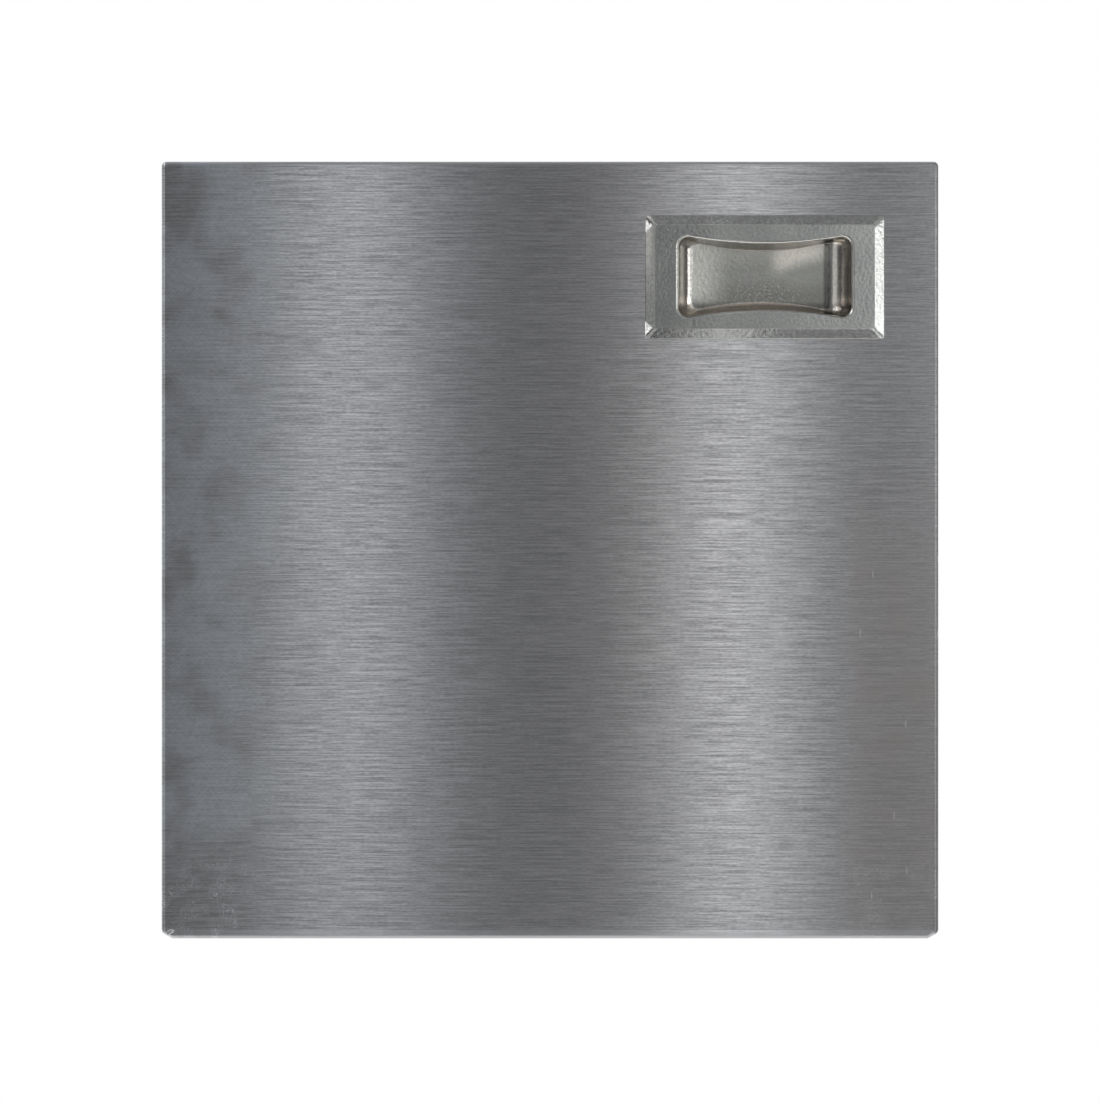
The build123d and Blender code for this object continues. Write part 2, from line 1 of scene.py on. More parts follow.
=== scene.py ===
# %% [markdown]
# A grill cabinet door is a shallow box folded from brushed stainless sheet. A pressed finger pull is set in
# its upper right, a liner closes its back, and two small hinges carry it on the cabinet. The solids come
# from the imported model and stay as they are. This lesson gives them their finishes, adds the weld bead that
# is left standing on one corner, and lights the whole like a product photograph.

# %% Load the frame
import math

import bpy
import bmesh
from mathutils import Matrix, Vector


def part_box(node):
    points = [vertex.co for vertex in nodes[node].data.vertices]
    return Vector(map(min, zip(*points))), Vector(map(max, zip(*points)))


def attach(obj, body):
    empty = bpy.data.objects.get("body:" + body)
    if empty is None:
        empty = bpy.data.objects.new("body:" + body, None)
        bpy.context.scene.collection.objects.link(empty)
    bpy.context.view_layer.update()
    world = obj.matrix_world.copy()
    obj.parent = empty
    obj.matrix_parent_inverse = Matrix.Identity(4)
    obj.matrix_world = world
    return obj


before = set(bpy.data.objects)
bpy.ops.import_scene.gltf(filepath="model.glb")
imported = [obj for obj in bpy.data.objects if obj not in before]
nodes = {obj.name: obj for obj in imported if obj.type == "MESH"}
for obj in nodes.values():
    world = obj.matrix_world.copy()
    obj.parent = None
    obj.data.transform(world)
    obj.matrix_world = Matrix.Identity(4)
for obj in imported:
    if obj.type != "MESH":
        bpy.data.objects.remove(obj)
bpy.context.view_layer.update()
skin_low, skin_high = (Vector(corner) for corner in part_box("door_skin"))
door_middle = (skin_low + skin_high) / 2
print("door", [round(1000 * side, 1) for side in skin_high - skin_low], "mm")

# %% [markdown]
# Every finish below is made of shader nodes, so a few small tools come first. Colours are written as the hex
# values that a colour picker shows, and one function turns them into the linear light that a renderer adds
# up. A second adds one node with its settings and links. A third gives a pattern's scale: one noise feature
# spans one unit of its own space, so a grain width in millimetres becomes a scale per metre. The last two
# start a material and put it on pieces of the door.


# %% Tools for finishes
def linear(hex_colour):
    """Linear colour of an sRGB hex value such as #8A8C91."""
    channels = [int(hex_colour[i : i + 2], 16) / 255 for i in (1, 3, 5)]
    return [c / 12.92 if c <= 0.04045 else ((c + 0.055) / 1.055) ** 2.4 for c in channels] + [1.0]


def add(tree, kind, inputs=(), **settings):
    """One new node: settings are its properties, inputs gives a socket a value or an output to link."""
    node = tree.nodes.new(kind)
    for name, value in settings.items():
        setattr(node, name, value)
    for socket, value in dict(inputs).items():
        if isinstance(value, bpy.types.NodeSocket):
            tree.links.new(value, node.inputs[socket])
        else:
            node.inputs[socket].default_value = value
    return node


def per_mm(*sizes):
    """Scale of a pattern whose features are this many millimetres wide."""
    return [1000 / size for size in sizes]


def start_finish(name, shader):
    """A material with only its output and its shader, whose plain values are given here."""
    material = bpy.data.materials.new(name)
    material.use_nodes = True
    tree = material.node_tree
    tree.nodes.clear()
    surface = add(tree, "ShaderNodeBsdfPrincipled", shader)
    add(tree, "ShaderNodeOutputMaterial", {"Surface": surface.outputs["BSDF"]})
    return material, tree, surface


def dress(material, *names):
    """Give CAD nodes a finish, whatever slots they came with."""
    for name in names:
        slots = nodes[name].data.materials
        slots.clear()
        slots.append(material)
    print(material.name, "on", ", ".join(names))


print("grey card", [round(c, 3) for c in linear("#808080")])

# %% [markdown]
# The front is stainless sheet, ground along its width with an abrasive belt. The belt leaves fine scratches
# 10 to 30 mm long and well under a millimetre apart, all of them level. Across such scratches light scatters
# widely and along them hardly at all, so a lamp's reflection is drawn out into an upright band. Painting the
# bands would fix them to one place. The shader's anisotropy makes them from the lamps instead, so they move
# as the door swings. Its tangent is the direction in which light scatters most: upright on the front and on
# the side walls, and from front to back on the top and bottom walls, where the sheet has been folded over.

# %% Belt-ground stainless steel: how it scatters light
ground_steel, tree, steel = start_finish(
    "belt_ground_stainless_steel", {"Metallic": 1.0, "Anisotropic": 0.82}
)
place = add(tree, "ShaderNodeTexCoord")
spot = add(tree, "ShaderNodeSeparateXYZ", {0: place.outputs["Object"]})
facing = add(tree, "ShaderNodeSeparateXYZ", {0: place.outputs["Normal"]})
level = add(tree, "ShaderNodeMath", {0: facing.outputs["Z"]}, operation="ABSOLUTE")
upright = add(tree, "ShaderNodeMath", {0: 1.0, 1: level.outputs[0]}, operation="SUBTRACT")
scatter = add(tree, "ShaderNodeCombineXYZ", {"Y": level.outputs[0], "Z": upright.outputs[0]})
tangent = add(
    tree,
    "ShaderNodeVectorTransform",
    {"Vector": scatter.outputs[0]},
    vector_type="VECTOR",
    convert_from="OBJECT",
    convert_to="WORLD",
)
tree.links.new(tangent.outputs[0], steel.inputs["Tangent"])
print("anisotropy", round(steel.inputs["Anisotropic"].default_value, 2))

# %% [markdown]
# The scratches themselves are noises drawn out along the sheet. The place across the grain is worked out so
# that it runs on over the top and bottom folds, where the sheet turns back. Three lengths are added up,
# because a belt has grit of many sizes. All are drawn about 0.7 mm wide, coarser than the real ones, so that
# they show in the render.

# %% Belt-ground stainless steel: the grain
along = add(tree, "ShaderNodeMath", {0: spot.outputs["X"], 1: spot.outputs["Y"]}, operation="ADD")
across = add(
    tree,
    "ShaderNodeMath",
    {0: spot.outputs["Y"], 1: level.outputs[0], 2: spot.outputs["Z"]},
    operation="MULTIPLY_ADD",
)
sheet = add(tree, "ShaderNodeCombineXYZ", {"X": along.outputs[0], "Y": across.outputs[0]})
grain = 0.0
for length, width, weight in ((45, 0.75, 0.40), (12, 0.70, 0.35), (2.5, 0.65, 0.25)):
    stretched = add(
        tree, "ShaderNodeMapping", {"Vector": sheet.outputs[0], "Scale": per_mm(length, width, 1000)}
    )
    noise = add(
        tree,
        "ShaderNodeTexNoise",
        {"Vector": stretched.outputs[0], "Scale": 1.0, "Detail": 1.0},
        noise_dimensions="2D",
    )
    layer = add(
        tree, "ShaderNodeMath", {0: noise.outputs["Fac"], 1: weight, 2: grain}, operation="MULTIPLY_ADD"
    )
    grain = layer.outputs[0]
    print("scratches", length, "x", width, "mm")

# %% [markdown]
# A used door is not clean. Near the left edge it has been rubbed across the grain, in patches that fade out
# towards the bottom corner, and a bluish film has stayed there. Low on the right a warm film ends in an
# uneven upright line. Such zones could be painted by hand. Here each is a product of smooth steps of the
# place on the sheet, so its limits are plain distances from the door's edges, in metres, and a noise breaks
# up its outline.


# %% Belt-ground stainless steel: where it is worn
def zone(tree, *limits):
    """A socket that is 1 where every value is past its second limit, and fades to 0 at the first one."""
    cover = 1.0
    for value, off, on in limits:
        step = add(
            tree,
            "ShaderNodeMapRange",
            {"Value": value, "From Min": off, "From Max": on},
            interpolation_type="SMOOTHSTEP",
        )
        cover = add(
            tree, "ShaderNodeMath", {0: step.outputs[0], 1: cover}, operation="MULTIPLY"
        ).outputs[0]
    return cover


to_right, upwards = spot.outputs["X"], spot.outputs["Z"]
unevenness = add(
    tree,
    "ShaderNodeTexNoise",
    {"Vector": place.outputs["Object"], "Scale": per_mm(28)[0], "Detail": 3.0, "Distortion": 0.6},
)
patchy = (unevenness.outputs["Fac"], 0.32, 0.56)
off_corner = (upwards, skin_low.z + 0.015, skin_low.z + 0.070)
rubbed_left = zone(tree, (to_right, skin_low.x + 0.085, skin_low.x + 0.012), off_corner, patchy)
uneven_line = add(
    tree,
    "ShaderNodeMath",
    {0: unevenness.outputs["Fac"], 1: 0.030, 2: to_right},
    operation="MULTIPLY_ADD",
)
film_edge = skin_high.x - 0.033
low_right = zone(
    tree,
    (uneven_line.outputs[0], film_edge - 0.005, film_edge + 0.005),
    (upwards, skin_low.z + 0.270, skin_low.z + 0.180),
)
print("film on the right from", round(1000 * film_edge), "mm on")

# %% [markdown]
# Rubbing crosses the grain both ways, so two more noises are drawn out along slanting lines and take the
# grain's place where the sheet is rubbed. The mapping is used the other way round here, as Texture: it turns
# the sheet first and divides by a size afterwards, so its scale is the size of a scratch in metres.

# %% Belt-ground stainless steel: hatching
hatch_length, hatch_width = 6, 0.8
hatch = 0.0
for degrees in (48, -40):
    turned = add(
        tree,
        "ShaderNodeMapping",
        {
            "Vector": sheet.outputs[0],
            "Rotation": (0, 0, math.radians(degrees)),
            "Scale": (hatch_length / 1000, hatch_width / 1000, 1.0),
        },
        vector_type="TEXTURE",
    )
    noise = add(
        tree,
        "ShaderNodeTexNoise",
        {"Vector": turned.outputs[0], "Scale": 1.0, "Detail": 1.0},
        noise_dimensions="2D",
    )
    layer = add(
        tree, "ShaderNodeMath", {0: noise.outputs["Fac"], 1: 0.5, 2: hatch}, operation="MULTIPLY_ADD"
    )
    hatch = layer.outputs[0]
hatched = add(tree, "ShaderNodeMath", {0: rubbed_left, 1: 0.45}, operation="MULTIPLY")
texture = add(tree, "ShaderNodeMix", {"Factor": hatched.outputs[0], "A": grain, "B": hatch})
print("hatching", hatch_length, "x", hatch_width, "mm")

# %% [markdown]
# By the bottom corners grit has been dragged about. Drawing each scratch would be long work. The contour
# lines of a soft noise are just such thin curly lines, and a second noise keeps them in clusters.

# %% Belt-ground stainless steel: grit marks
curl_size, cluster_size = 5, 9
curls = add(
    tree,
    "ShaderNodeTexNoise",
    {"Vector": place.outputs["Object"], "Scale": per_mm(curl_size)[0], "Detail": 1.0, "Distortion": 1.6},
)
contour = add(tree, "ShaderNodeMath", {0: curls.outputs["Fac"], 1: 0.06}, operation="PINGPONG")
line = add(
    tree,
    "ShaderNodeMapRange",
    {"Value": contour.outputs[0], "From Min": 0.020, "From Max": 0.004},
)
clusters = add(
    tree,
    "ShaderNodeTexNoise",
    {"Vector": place.outputs["Object"], "Scale": per_mm(cluster_size)[0], "Detail": 1.0},
)
corner_left = zone(tree, (to_right, skin_low.x + 0.060, skin_low.x + 0.030))
corners = add(
    tree, "ShaderNodeMath", {0: low_right, 1: 0.4, 2: corner_left}, operation="MULTIPLY_ADD"
)
clustered = zone(
    tree,
    (clusters.outputs["Fac"], 0.46, 0.56),
    (upwards, skin_low.z + 0.060, skin_low.z + 0.030),
)
dragged = add(tree, "ShaderNodeMath", {0: corners.outputs[0], 1: clustered}, operation="MULTIPLY")
grit_marks = add(
    tree, "ShaderNodeMath", {0: line.outputs[0], 1: dragged.outputs[0]}, operation="MULTIPLY"
)
print("grit marks", curl_size, "mm, in clusters of", cluster_size, "mm")

# %% [markdown]
# Low on the right are a few short upright nicks. A Voronoi pattern sets one dot in each cell, the stretched
# space makes the dots slim, and only the cells whose own random colour is high keep theirs.

# %% Belt-ground stainless steel: nicks
cell_width, cell_height = 6, 34
slim = add(
    tree,
    "ShaderNodeMapping",
    {"Vector": sheet.outputs[0], "Scale": per_mm(cell_width, cell_height, 1000)},
)
cells = add(
    tree, "ShaderNodeTexVoronoi", {"Vector": slim.outputs[0], "Scale": 1.0}, voronoi_dimensions="2D"
)
dot = add(
    tree,
    "ShaderNodeMapRange",
    {"Value": cells.outputs["Distance"], "From Min": 0.085, "From Max": 0.03, "To Max": 0.7},
)
chance = add(tree, "ShaderNodeSeparateColor", {"Color": cells.outputs["Color"]})
chosen = add(tree, "ShaderNodeMath", {0: chance.outputs["Red"], 1: 0.85}, operation="GREATER_THAN")
nick = add(tree, "ShaderNodeMath", {0: dot.outputs[0], 1: chosen.outputs[0]}, operation="MULTIPLY")
nicks = add(tree, "ShaderNodeMath", {0: nick.outputs[0], 1: low_right}, operation="MULTIPLY")
marks = add(
    tree, "ShaderNodeMath", {0: grit_marks.outputs[0], 1: nicks.outputs[0]}, operation="MAXIMUM"
)
print("at most one nick in each", cell_width, "x", cell_height, "mm")

# %% [markdown]
# Now the texture and the wear colour the sheet. Stainless reflects about half of the light and is very
# slightly blue. The deep scratches are dark and the smooth ground between them is bright. The blue film is
# thin, so the grain shows through it, and the warm one is thinner in the patches. The lower fold is painted
# lighter, a painted highlight, and the right-hand fold darker, a painted shade. The marks are bare bright
# metal. Each coat is mixed over the last.

# %% Belt-ground stainless steel: colour
dark_streak, bright_streak = 0.36, 0.64
streaks = add(
    tree,
    "ShaderNodeMapRange",
    {"Value": texture.outputs["Result"], "From Min": dark_streak, "From Max": bright_streak},
)
coat, film_tone = (
    add(
        tree,
        "ShaderNodeMix",
        {"Factor": streaks.outputs[0], "A": linear(dark), "B": linear(light)},
        data_type="RGBA",
    ).outputs["Result"]
    for dark, light in (("#A1A2A4", "#D1D2D4"), ("#B7BDC3", "#E3E8EC"))
)
blue_veil = add(tree, "ShaderNodeMath", {0: rubbed_left, 1: 0.90}, operation="MULTIPLY")
film_share = add(
    tree, "ShaderNodeMapRange", {"Value": zone(tree, patchy), "To Min": 0.55, "To Max": 0.22}
)
warm_veil = add(tree, "ShaderNodeMath", {0: low_right, 1: film_share.outputs[0]}, operation="MULTIPLY")
# Painted highlight: the lower fold is coloured lighter. Then painted shade: the right-hand fold is coloured
# darker.
lower_fold_highlight = add(
    tree,
    "ShaderNodeMapRange",
    {"Value": upwards, "From Min": skin_low.z + 0.0052, "From Max": skin_low.z + 0.0044, "To Max": 0.45},
)
right_fold_shade = add(
    tree,
    "ShaderNodeMapRange",
    {"Value": to_right, "From Min": skin_high.x - 0.0028, "From Max": skin_high.x - 0.0018, "To Max": 0.55},
)
for share, colour in (
    (blue_veil, film_tone),
    (warm_veil, linear("#BDB5B1")),
    (lower_fold_highlight, linear("#DFE1E4")),
    (right_fold_shade, linear("#6E6F72")),
    (marks, linear("#F4F6F8")),
):
    coat = add(
        tree, "ShaderNodeMix", {"Factor": share.outputs[0], "A": coat, "B": colour}, data_type="RGBA"
    ).outputs["Result"]
tree.links.new(coat, steel.inputs["Base Color"])
print("sheet coloured by", len(tree.nodes), "nodes")

# %% [markdown]
# Roughness starts from 0.35, usual for a belt finish. It goes the opposite way to brightness: the scratches
# are a little rougher than the ground between them, and the rubbed film is duller again. The relief is at
# most two hundredths of a millimetre deep, enough to break up the reflections.

# %% Belt-ground stainless steel: roughness and relief
rough = add(
    tree,
    "ShaderNodeMapRange",
    {
        "Value": texture.outputs["Result"],
        "From Min": dark_streak,
        "From Max": bright_streak,
        "To Min": 0.365,
        "To Max": 0.315,
    },
)
dulled = add(
    tree, "ShaderNodeMath", {0: rubbed_left, 1: 0.03, 2: rough.outputs[0]}, operation="MULTIPLY_ADD"
)
tree.links.new(dulled.outputs[0], steel.inputs["Roughness"])
relief = add(
    tree,
    "ShaderNodeBump",
    {"Strength": 0.25, "Distance": 0.00002, "Height": texture.outputs["Result"]},
)
tree.links.new(relief.outputs[0], steel.inputs["Normal"])
dress(ground_steel, "door_skin")

# %% [markdown]
# The pull is pressed from thin sheet and plated with satin nickel, which is warmer than the stainless round
# it. Its colour differs from place to place, and most of these differences are painted light: painted
# highlights, painted reflections and painted shade laid into the colour. To say where, a few measures are
# taken first: the distance to the right of the pull's middle and above it, the depth behind its front, sums
# and differences of these for slanting limits, and which way the surface is turned. All are taken on the
# piece itself, so the finish stays in place as the door swings.

# %% Satin nickel on pressed steel: places on the pull
pull_low, pull_high = (Vector(corner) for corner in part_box("pull_cup"))
pull_middle = (pull_low + pull_high) / 2
nickel, tree, plating = start_finish("satin_nickel_plated_pressed_steel", {"Metallic": 1.0})
place = add(tree, "ShaderNodeTexCoord")
spot = add(tree, "ShaderNodeSeparateXYZ", {0: place.outputs["Object"]})
right, depth, height = (
    add(tree, "ShaderNodeMath", {0: spot.outputs[axis], 1: start}, operation="SUBTRACT").outputs[0]
    for axis, start in zip("XYZ", (pull_middle.x, pull_low.y, pull_middle.z))
)
beside = add(tree, "ShaderNodeMath", {0: right}, operation="ABSOLUTE").outputs[0]
above = add(tree, "ShaderNodeMath", {0: height}, operation="ABSOLUTE").outputs[0]
lean = add(tree, "ShaderNodeMath", {0: right, 1: above}, operation="ADD").outputs[0]
reach = add(tree, "ShaderNodeMath", {0: above, 1: right}, operation="SUBTRACT").outputs[0]
slant = add(
    tree, "ShaderNodeMath", {0: right, 1: -0.32, 2: height}, operation="MULTIPLY_ADD"
).outputs[0]
facing = add(tree, "ShaderNodeSeparateXYZ", {0: place.outputs["Normal"]})
turned_in, turned_up = facing.outputs["Y"], facing.outputs["Z"]
print("pull", [round(1000 * side, 1) for side in pull_high - pull_low], "mm")

# %% [markdown]
# The cup's floor, where the press stretches the sheet most, is rougher than the rest, and it is painted
# darker, as painted shade in the recess. Painted highlights make it pale at the left, along the top and in a
# patch at the upper right; painted shade darkens a patch low down and its lower edge. The press tool left
# flecks in it. The walls carry a painted reflection tone: the lower one has a painted highlight, its fillet
# and the left wall painted shade. On the right a fillet of painted shade lies beside a painted highlight
# streak, above a corner of painted shade. The rolled rim is smoother and has a painted highlight.

# %% Satin nickel on pressed steel: zones of the cup
mouth = ((beside, 0.0545, 0.0530), (above, 0.0268, 0.0258))
inside = ((depth, 0.0005, 0.0030), *mouth)
flat = ((turned_in, -0.970, -0.990), (depth, 0.0085, 0.0120), *inside)
steep = ((turned_in, -0.985, -0.930), *inside)
low = (height, -0.008, -0.013)
zones = {}
for name, limits in {
    "cup": inside,
    "walls": steep,
    "floor": ((turned_in, -0.994, -0.9995), *inside),
    # Painted shade: a dark patch low on the floor.
    "painted_shade_patch": ((right, -0.034, -0.014), (height, 0.002, -0.010), *flat),
    # Painted highlight: a pale patch at the upper right of the floor.
    "painted_highlight_patch": ((right, 0.001, 0.011), (right, 0.040, 0.026), (slant, -0.003, 0.007), *flat),
    "left floor": ((right, -0.016, -0.037), (height, -0.017, -0.006), *flat),
    "upper floor": ((height, 0.004, 0.014), *flat),
    "low floor": ((height, -0.0115, -0.0150), *flat),
    "flecks": ((beside, 0.032, 0.004), (height, 0.008, -0.010), *inside),
    "lower wall": (low, *steep),
    "lower fillet": (low, (turned_up, 0.05, 0.15), (turned_up, 0.80, 0.60), *inside),
    # Painted highlight: the rolled rim is coloured near white; below, it is also made smoother.
    "rim": ((depth, 0.0001, 0.0005), (depth, 0.0022, 0.0014), (height, -0.0215, -0.0170), *mouth),
    "left wall": ((right, -0.0406, -0.0418), (right, -0.0450, -0.0440), *inside),
    "right fillet": ((right, 0.0312, 0.0330), (right, 0.0376, 0.0362), *inside),
    "streak": ((right, 0.0364, 0.0376), (right, 0.0398, 0.0386), *inside),
    "low corner": ((right, 0.034, 0.038), (height, -0.0120, -0.0160), *inside),
}.items():
    zones[name] = zone(tree, *limits)
print("zones of the cup:", ", ".join(zones))

# %% [markdown]
# The flange round the cup is a flat plateau with a slope along each edge. The plateau is rougher than the
# rest and painted darker, as painted shade. The lower slope has a painted highlight, stronger to the right,
# and so have parts of the left and lower edges and two small facets at the ends of the left slope.

# %% Satin nickel on pressed steel: zones of the flange
left_slope = (lean, -0.0306, -0.0311)
# Painted light: the plateau zone carries painted shade; the lower slope, the left and lower edges and the
# left corners carry painted highlights.
flange_zones = {
    "lower slope": ((turned_up, -0.15, -0.30), (height, -0.0255, -0.0270), (right, -0.110, 0.045)),
    "plateau": ((turned_in, -0.960, -0.985), (depth, 0.0012, 0.0004)),
    "left edge": ((right, -0.0588, -0.0618), (height, -0.010, 0.026)),
    "lower edge": ((height, -0.0318, -0.0325), (right, 0.005, 0.030)),
    "left slope": (left_slope,),
    "left corners": (left_slope, (reach, 0.0858, 0.0882)),
}
for name, limits in flange_zones.items():
    zones[name] = zone(tree, *limits)
print("zones of the flange:", ", ".join(flange_zones))

# %% [markdown]
# Noises break up the plating: clouds a few centimetres wide, waves, wrinkles of about 2 mm and a speckle,
# which is drawn coarser than the real grain of a plating so that it shows. The flecks are a Voronoi pattern,
# which sets one in each cell.

# %% Satin nickel on pressed steel: noises and flecks
noises = {}
for name, size, detail in (
    ("clouds", 24, 3.0),
    ("waves", 9, 1.0),
    ("wrinkles", 1.8, 2.0),
    ("speckle", 1.2, 2.0),
):
    noise = add(
        tree,
        "ShaderNodeTexNoise",
        {"Vector": place.outputs["Object"], "Scale": per_mm(size)[0], "Detail": detail},
    )
    noises[name] = noise.outputs["Fac"]
    print(name, size, "mm")
fleck_spacing = 1.3
cells = add(
    tree, "ShaderNodeTexVoronoi", {"Vector": place.outputs["Object"], "Scale": per_mm(fleck_spacing)[0]}
)
dot = add(
    tree, "ShaderNodeMapRange", {"Value": cells.outputs["Distance"], "From Min": 0.36, "From Max": 0.24}
)
flecks = add(tree, "ShaderNodeMath", {0: dot.outputs[0], 1: zones["flecks"]}, operation="MULTIPLY")
zones["flecks"] = flecks.outputs[0]
print("flecks", fleck_spacing, "mm apart")

# %% [markdown]
# The coats are laid one over the other, each in its own zone and with its own share of colour. One colour
# all over a zone would look painted, so the speckle makes every coat thicker here and thinner there.

# %% Satin nickel on pressed steel: colour
mottle = add(tree, "ShaderNodeMix", {"Factor": 0.6, "A": noises["clouds"], "B": noises["speckle"]})
mottled = add(
    tree, "ShaderNodeMapRange", {"Value": mottle.outputs["Result"], "From Min": 0.38, "From Max": 0.62}
)
coat = add(
    tree,
    "ShaderNodeMix",
    {"Factor": mottled.outputs[0], "A": linear("#A0A29F"), "B": linear("#C1C3BF")},
    data_type="RGBA",
)
uneven = add(
    tree,
    "ShaderNodeMapRange",
    {"Value": noises["speckle"], "From Min": 0.3, "From Max": 0.7, "To Min": 0.78, "To Max": 1.22},
)
# Painted light: every coat below except the flecks stands for light or shade, as painted shade where it is
# dark and as a painted highlight or painted reflection where it is pale.
for name, share, colour in (
    ("walls", 0.50, "#B8AFA8"),
    ("lower wall", 0.90, "#F2E8DD"),
    ("lower fillet", 0.34, "#57524C"),
    ("floor", 0.55, "#8E908A"),
    ("left floor", 0.90, "#E2E3DC"),
    ("upper floor", 0.28, "#DCDDD6"),
    ("plateau", 0.46, "#838786"),
    ("painted_shade_patch", 0.40, "#5A5A55"),
    ("painted_highlight_patch", 0.88, "#F0ECE2"),
    ("low floor", 0.60, "#4E4E4A"),
    ("flecks", 0.36, "#E6E5E0"),
    ("left wall", 0.42, "#565350"),
    ("right fillet", 0.62, "#3E3E3B"),
    ("streak", 0.85, "#F4F1EA"),
    ("low corner", 0.70, "#4A4843"),
    ("lower slope", 0.75, "#EDEEEB"),
    ("rim", 0.95, "#F6F4F0"),
    ("left edge", 0.70, "#F3F1EC"),
    ("lower edge", 0.70, "#F3F1EC"),
    ("left corners", 0.90, "#F3F1EC"),
):
    thickness = add(tree, "ShaderNodeMath", {0: uneven.outputs[0], 1: share}, operation="MULTIPLY")
    strength = add(
        tree, "ShaderNodeMath", {0: zones[name], 1: thickness.outputs[0]}, operation="MULTIPLY"
    )
    coat = add(
        tree,
        "ShaderNodeMix",
        {"Factor": strength.outputs[0], "A": coat.outputs["Result"], "B": linear(colour)},
        data_type="RGBA",
    )
tree.links.new(coat.outputs["Result"], plating.inputs["Base Color"])
print("pull coloured by", len(tree.nodes), "nodes")

# %% [markdown]
# A satin plating has a roughness of about 0.2. The dull floor and the plateau have more, the polished rim and
# the worn corners less.

# %% Satin nickel on pressed steel: roughness
satin = add(
    tree,
    "ShaderNodeMapRange",
    {"Value": noises["speckle"], "From Min": 0.3, "From Max": 0.7, "To Min": 0.20, "To Max": 0.25},
)
rough = satin.outputs[0]
for name, change in (("plateau", 0.08), ("floor", 0.12), ("rim", -0.08), ("left corners", -0.12)):
    step = {0: zones[name], 1: change, 2: rough}
    rough = add(tree, "ShaderNodeMath", step, operation="MULTIPLY_ADD").outputs[0]
    print(name, "rougher by", change)
tree.links.new(rough, plating.inputs["Roughness"])

# %% [markdown]
# The press leaves the flange slightly crowned from end to end, with its top left of the middle, and pinches
# the ends of the left slope into facets. Only the reflections show it, so both are relief in the shading and
# the solid stays plain. The crown is a parabola, and a facet rises evenly from a slanting line. The edges of
# thin sheet are never knife sharp either: the bevel node softens how they catch light.

# %% Satin nickel on pressed steel: crown and facets
crown_left, crown_bend = 0.025, -0.70
facet_slope, facet_start = 0.275, 0.0239
edge_radius = 0.0006
off_crown = add(tree, "ShaderNodeMath", {0: right, 1: crown_left}, operation="ADD")
bulge = add(tree, "ShaderNodeMath", {0: off_crown.outputs[0], 1: 2.0}, operation="POWER")
crown = add(tree, "ShaderNodeMath", {0: bulge.outputs[0], 1: crown_bend}, operation="MULTIPLY")
ramp = add(
    tree, "ShaderNodeMath", {0: reach, 1: facet_slope, 2: -facet_start}, operation="MULTIPLY_ADD"
)
facet = add(tree, "ShaderNodeMath", {0: ramp.outputs[0], 1: 0.0}, operation="MAXIMUM")
pinch = add(tree, "ShaderNodeMath", {0: facet.outputs[0], 1: zones["left slope"]}, operation="MULTIPLY")
soft_edges = add(tree, "ShaderNodeBevel", {"Radius": edge_radius}, samples=8)
crowned = add(
    tree,
    "ShaderNodeBump",
    {"Strength": 1.0, "Distance": 1.0, "Height": crown.outputs[0], "Normal": soft_edges.outputs[0]},
)
flange_only = add(
    tree,
    "ShaderNodeMix",
    {"Factor": zones["cup"], "A": crowned.outputs[0], "B": soft_edges.outputs[0]},
    data_type="VECTOR",
)
print("edges softened by", 1000 * edge_radius, "mm")

# %% [markdown]
# Stretched sheet is also a little wavy and wrinkled, like the skin of an orange. The wrinkles are deepest
# where the surface faces the front and shallower on the slopes, which the tool ironed smooth. Each relief is
# laid over the last, so the loop hands the normal on from one to the next.

# %% Satin nickel on pressed steel: waves and wrinkles
ironed = add(
    tree,
    "ShaderNodeMapRange",
    {"Value": turned_in, "From Min": -0.960, "From Max": -0.985, "To Min": 0.4, "To Max": 1.0},
)
about_mean = add(tree, "ShaderNodeMath", {0: noises["wrinkles"], 1: 0.5}, operation="SUBTRACT")
wrinkled = add(
    tree, "ShaderNodeMath", {0: about_mean.outputs[0], 1: ironed.outputs[0]}, operation="MULTIPLY"
)
skin_normal = flange_only.outputs["Result"]
for height_map, strength, distance in (
    (pinch.outputs[0], 1.0, 1.0),
    (noises["waves"], 0.5, 0.00008),
    (wrinkled.outputs[0], 0.6, 0.00045),
    (noises["speckle"], 0.3, 0.000008),
):
    skin_normal = add(
        tree,
        "ShaderNodeBump",
        {"Strength": strength, "Distance": distance, "Height": height_map, "Normal": skin_normal},
    ).outputs[0]
tree.links.new(skin_normal, plating.inputs["Normal"])
dress(nickel, "pull_cup")

# %% [markdown]
# The liner is plain cold-rolled stainless, as the mill delivers it: smooth, greyish, with faint rolling lines
# along the sheet and soft clouds. It is never polished, because the back of a door is not looked at. The
# lines are drawn 1.4 mm wide, coarser than real ones, so that they show.

# %% Cold-rolled stainless steel
mill_steel, tree, rolled = start_finish("cold_rolled_stainless_steel", {"Metallic": 1.0})
place = add(tree, "ShaderNodeTexCoord")
stretched = add(
    tree, "ShaderNodeMapping", {"Vector": place.outputs["Object"], "Scale": per_mm(1.4, 20, 90)}
)
lines = add(
    tree, "ShaderNodeTexNoise", {"Vector": stretched.outputs[0], "Scale": 1.0, "Detail": 3.0}
)
clouds = add(
    tree,
    "ShaderNodeTexNoise",
    {"Vector": place.outputs["Object"], "Scale": per_mm(55)[0], "Detail": 4.0, "Distortion": 0.5},
)
mixed = add(
    tree, "ShaderNodeMix", {"Factor": 0.5, "A": lines.outputs["Fac"], "B": clouds.outputs["Fac"]}
)
spread = add(
    tree, "ShaderNodeMapRange", {"Value": mixed.outputs["Result"], "From Min": 0.35, "From Max": 0.65}
)
tone = add(
    tree,
    "ShaderNodeMix",
    {"Factor": spread.outputs[0], "A": linear("#B4B6B8"), "B": linear("#CDCFD1")},
    data_type="RGBA",
)
tree.links.new(tone.outputs["Result"], rolled.inputs["Base Color"])
